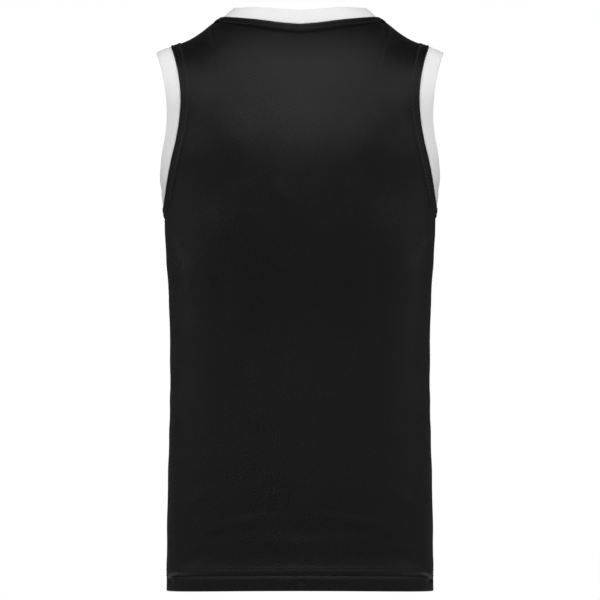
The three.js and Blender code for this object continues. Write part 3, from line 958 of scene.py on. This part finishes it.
def band_knit():
    """White interlock knit: fine wales along the band's width and a soft mottle."""
    made = Nodes("band_knit")
    cloth = made.add("ShaderNodeAttribute", attribute_name="cloth")
    place = made.add("ShaderNodeSeparateXYZ", {0: cloth.outputs["Vector"]})
    x, y = place.outputs[0], place.outputs[1]
    noise = made.add(
        "ShaderNodeTexNoise", {"Vector": cloth.outputs["Vector"], "Scale": 340.0, "Detail": 3.0}
    ).outputs["Fac"]
    wales = made.wave(made.math("ADD", x, made.math("MULTIPLY", noise, 0.0004)), 0.0012)
    courses = made.wave(y, 0.0010)
    slant = made.wave(made.slanted(x, y, math.radians(52)), 0.0026)
    height = made.math("ADD", wales, made.math("MULTIPLY", courses, 0.4))
    height = made.math("ADD", height, made.math("MULTIPLY", slant, 0.45))
    grain = made.math("MULTIPLY_ADD", height, 0.14, noise)
    tone = made.add("ShaderNodeValToRGB", {0: grain})
    tone.color_ramp.elements[0].position = 0.2
    tone.color_ramp.elements[0].color = (0.78, 0.785, 0.785, 1)
    tone.color_ramp.elements[1].position = 0.8
    tone.color_ramp.elements[1].color = (0.85, 0.85, 0.845, 1)
    bump = made.add(
        "ShaderNodeBump", {"Height": height, "Distance": 0.00010, "Strength": 0.5}
    )
    made.join(tone.outputs[0], made.shader.inputs["Base Color"])
    made.join(bump.outputs[0], made.shader.inputs["Normal"])
    made.shader.inputs["Roughness"].default_value = 0.8
    made.shader.inputs["Specular IOR Level"].default_value = 0.3
    made.shader.inputs["Sheen Weight"].default_value = 0.05
    return made.material


def thread(name, low, high, gloss):
    """Twisted sewing thread."""
    made = Nodes(name)
    spot = made.add("ShaderNodeTexCoord").outputs["Object"]
    noise = made.add("ShaderNodeTexNoise", {"Vector": spot, "Scale": 2400.0, "Detail": 2.0})
    tone = made.add("ShaderNodeValToRGB", {0: noise.outputs["Fac"]})
    tone.color_ramp.elements[0].color = (*low, 1)
    tone.color_ramp.elements[1].color = (*high, 1)
    bump = made.add(
        "ShaderNodeBump",
        {"Height": noise.outputs["Fac"], "Distance": 0.00005, "Strength": 0.5},
    )
    made.join(tone.outputs[0], made.shader.inputs["Base Color"])
    made.join(bump.outputs[0], made.shader.inputs["Normal"])
    made.shader.inputs["Roughness"].default_value = 0.6
    made.shader.inputs["Specular IOR Level"].default_value = gloss
    return made.material


def overlock(name, low, high):
    """A seam allowance wrapped in overlock thread, seen as slanted loops across it."""
    made = Nodes(name)
    cloth = made.add("ShaderNodeAttribute", attribute_name="cloth")
    place = made.add("ShaderNodeSeparateXYZ", {0: cloth.outputs["Vector"]})
    loops = made.wave(made.slanted(place.outputs[0], place.outputs[1], 0.5), 0.0019)
    share = made.math("MULTIPLY_ADD", loops, 0.5, 0.5)
    tone = made.add("ShaderNodeValToRGB", {0: share})
    tone.color_ramp.elements[0].color = (*low, 1)
    tone.color_ramp.elements[1].color = (*high, 1)
    bump = made.add("ShaderNodeBump", {"Height": loops, "Distance": 0.0002, "Strength": 0.8})
    made.join(tone.outputs[0], made.shader.inputs["Base Color"])
    made.join(bump.outputs[0], made.shader.inputs["Normal"])
    made.shader.inputs["Roughness"].default_value = 0.7
    return made.material


# The jersey

NECK_STEPS = 460
ARMHOLE_STEPS = 400

black_knit = body_knit()
white_knit = band_knit()
black_thread = thread("black_thread", (0.0008, 0.0008, 0.0008), (0.003, 0.003, 0.003), 0.03)
# Dark grey thread for the hem's upper row and the armholes' zigzags. It is lighter than the black
# thread, partly as its own grey and partly as painted sheen on the stitches.
grey_thread_painted_sheen = thread("grey_thread_painted_sheen", (0.012, 0.012, 0.012), (0.03, 0.03, 0.03), 0.3)
white_thread = thread("white_thread", (0.66, 0.66, 0.65), (0.86, 0.86, 0.85), 0.3)
black_overlock = overlock("black_overlock", (0.006, 0.006, 0.006), (0.02, 0.02, 0.021))
white_overlock = overlock("white_overlock", (0.55, 0.55, 0.54), (0.84, 0.84, 0.83))

back, front = build_panel(BACK), build_panel(FRONT)
both = ((BACK, back), (FRONT, front))
outside, inside = Surface(both, "outer"), Surface(both, "inner")
back_cloth = panel_piece(BACK, back, black_knit)
front_cloth = panel_piece(FRONT, front, black_knit)

neck = neck_loop(back, front, NECK_STEPS)
armholes = {side: armhole_loop(back, front, side, ARMHOLE_STEPS) for side in (1, -1)}
SIDE_NAMES = {1: "left", -1: "right"}

neckband = band_piece("neckband_rib", neck, white_knit)
armhole_bands = {
    side: band_piece("armhole_band_rib_" + SIDE_NAMES[side], armholes[side], white_knit)
    for side in (1, -1)
}


class BandSurface(Surface):
    """A band's surface, for the stitches on it."""

    def __init__(self, piece):
        points = [v.co / MM - Vector((0, 0, RAISE)) for v in piece.data.vertices]
        self.tree = BVHTree.FromPolygons(points, [p.vertices[:] for p in piece.data.polygons])


def band_stitches(name, loop, piece):
    """The fine line of stitches on a band, beside its seam."""
    line = loop["points"] + loop["outward"] * 3.3 + loop["normals"] * 0.4
    row = line_stitches(around(line), BandSurface(piece), lift=-0.02)
    return stitches(name, [row], white_thread, radius=0.17)


neck_line = around(inside_edge(neck, NECK_STRIP["width"], outside))
neck_stitches = stitches(
    "neck_stitching",
    [line_stitches(neck_line, outside, **NECK_ZIGZAG)],
    black_thread,
    radius=ZIGZAG_RADIUS,
)
# The hem's lower row, in its crease, is sewn in black thread. The upper row is sewn in the grey one,
# whose lift over the black is partly painted sheen.
for height, word, yarn in zip(HEM_STITCHES, ("low", "high"), (black_thread, grey_thread_painted_sheen)):
    row = int(np.argmin(np.abs(LOW_ROWS - height)))
    lines = [line_stitches(built["outer"][row, 3:-3], outside, length=1.8) for _, built in both]
    stitches("hem_stitching_" + word, lines, yarn, radius=0.34)

band_sewing = {0: band_stitches("neckband_stitching", neck, neckband)}
armhole_sewing = {}
for side, loop in armholes.items():
    word = SIDE_NAMES[side]
    line = around(inside_edge(loop, ARMHOLE_STRIP["width"], outside))
    # The armholes' zigzags are sewn in the grey thread, whose lift over the black is partly painted
    # sheen.
    armhole_sewing[side] = stitches(
        "armhole_stitching_" + word,
        [line_stitches(line, outside, **ARMHOLE_ZIGZAG)],
        grey_thread_painted_sheen,
        radius=ZIGZAG_RADIUS,
    )
    band_sewing[side] = band_stitches(
        "armhole_band_stitching_" + word, loop, armhole_bands[side]
    )

allowances = {
    "neck": allowance(
        "neck_seam_allowance",
        neck["points"],
        neck["outward"],
        neck["normals"],
        8.0,
        inside,
        white_overlock,
        True,
    )
}
for side, loop in armholes.items():
    word = SIDE_NAMES[side]
    allowances["armhole_" + word] = allowance(
        "armhole_seam_allowance_" + word,
        loop["points"],
        loop["outward"],
        loop["normals"],
        7.0,
        inside,
        white_overlock,
        True,
    )
    column, inner_column = (-1, -4) if side > 0 else (0, 3)
    side_line = back["points"][6 : ARMPIT_ROW - 3, column]
    side_out = unit(side_line - back["points"][6 : ARMPIT_ROW - 3, inner_column])
    allowances["side_" + word] = allowance(
        "side_seam_allowance_" + word,
        side_line,
        side_out,
        back["normals"][6 : ARMPIT_ROW - 3, column],
        7.5,
        inside,
        black_overlock,
        False,
    )
    seam = np.nonzero(COLUMNS * side >= NECK_SHARE)[0]
    seam = seam[1:-1]
    allowances["shoulder_" + word] = allowance(
        "shoulder_seam_allowance_" + word,
        back["points"][-1, seam],
        unit(back["points"][-1, seam] - back["points"][-4, seam]),
        back["normals"][-1, seam],
        7.5,
        inside,
        black_overlock,
        False,
    )

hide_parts("back_panel")
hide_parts("front_panel")
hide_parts("neckband")
for side in (1, -1):
    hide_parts("armhole_band_" + SIDE_NAMES[side])

# Camera, light and studio

FRAME_WIDTH = 0.798  # 600 pixels of 1.33 mm
FRAME_CENTRE = (0.0, 0.0, -0.3503)
CAMERA_DISTANCE = 12.0
SENSOR = 36.0
LIT = (0.0, 0.0, -0.3)  # where the lamps point


def pointing(obj, target):
    obj.rotation_euler = (Vector(target) - obj.location).to_track_quat("-Z", "Y").to_euler()


def add_camera():
    data = bpy.data.cameras.new("camera")
    data.sensor_width = SENSOR
    data.lens = SENSOR * CAMERA_DISTANCE / FRAME_WIDTH
    data.clip_end = 60.0
    camera = bpy.data.objects.new("camera", data)
    camera.location = Vector(FRAME_CENTRE) + Vector((0, CAMERA_DISTANCE, 0))
    pointing(camera, FRAME_CENTRE)
    bpy.context.scene.collection.objects.link(camera)
    bpy.context.scene.camera = camera


def add_light(name, location, target, size, power):
    data = bpy.data.lights.new(name, "AREA")
    data.shape = "RECTANGLE"
    data.size, data.size_y = size
    data.energy = power
    light = bpy.data.objects.new(name, data)
    light.location = location
    pointing(light, target)
    bpy.context.scene.collection.objects.link(light)


def add_world(strength):
    world = bpy.data.worlds.new("studio")
    world.use_nodes = True
    background = world.node_tree.nodes["Background"]
    background.inputs["Color"].default_value = (1, 1, 1, 1)
    background.inputs["Strength"].default_value = strength
    bpy.context.scene.world = world


def add_backdrop(radius, centre):
    """A white studio wall all round, which only the camera sees."""
    bpy.ops.mesh.primitive_uv_sphere_add(segments=48, ring_count=24, radius=radius, location=centre)
    wall = bpy.context.object
    wall.name = "backdrop"
    paint = bpy.data.materials.new("backdrop_white")
    paint.use_nodes = True
    tree = paint.node_tree
    tree.nodes.clear()
    glow = tree.nodes.new("ShaderNodeEmission")
    glow.inputs["Strength"].default_value = 1.0
    output = tree.nodes.new("ShaderNodeOutputMaterial")
    tree.links.new(glow.outputs[0], output.inputs["Surface"])
    wall.data.materials.append(paint)
    for ray in ("diffuse", "glossy", "transmission", "volume_scatter", "shadow"):
        setattr(wall, "visible_" + ray, False)


def add_floor(height, radius):
    bpy.ops.mesh.primitive_circle_add(
        vertices=96, radius=radius, fill_type="NGON", location=(0, 0, height)
    )
    floor = bpy.context.object
    floor.name = "floor"
    paint = bpy.data.materials.new("floor_pale")
    paint.use_nodes = True
    paint.node_tree.nodes["Principled BSDF"].inputs["Base Color"].default_value = (0.8, 0.8, 0.8, 1)
    paint.node_tree.nodes["Principled BSDF"].inputs["Roughness"].default_value = 0.9
    floor.data.materials.append(paint)


add_camera()
add_world(0.04)
add_backdrop(28.0, FRAME_CENTRE)
add_floor(-1.04, 1.5)
add_light("key", (0, 2.451, 1.757), LIT, (1.2, 1.2), 56)
for side in (1, -1):
    word = SIDE_NAMES[side]
    add_light("wide_" + word, (2.147 * side, 1.504, 1.535), LIT, (1.2, 1.2), 28)
    add_light("side_" + word, (1.3 * side, 0.1, -0.15), LIT, (0.9, 0.6), 2.4)
add_light("front", (0, -2.6, -0.1), LIT, (0.9, 0.6), 44)
bpy.context.scene.view_settings.view_transform = "Standard"
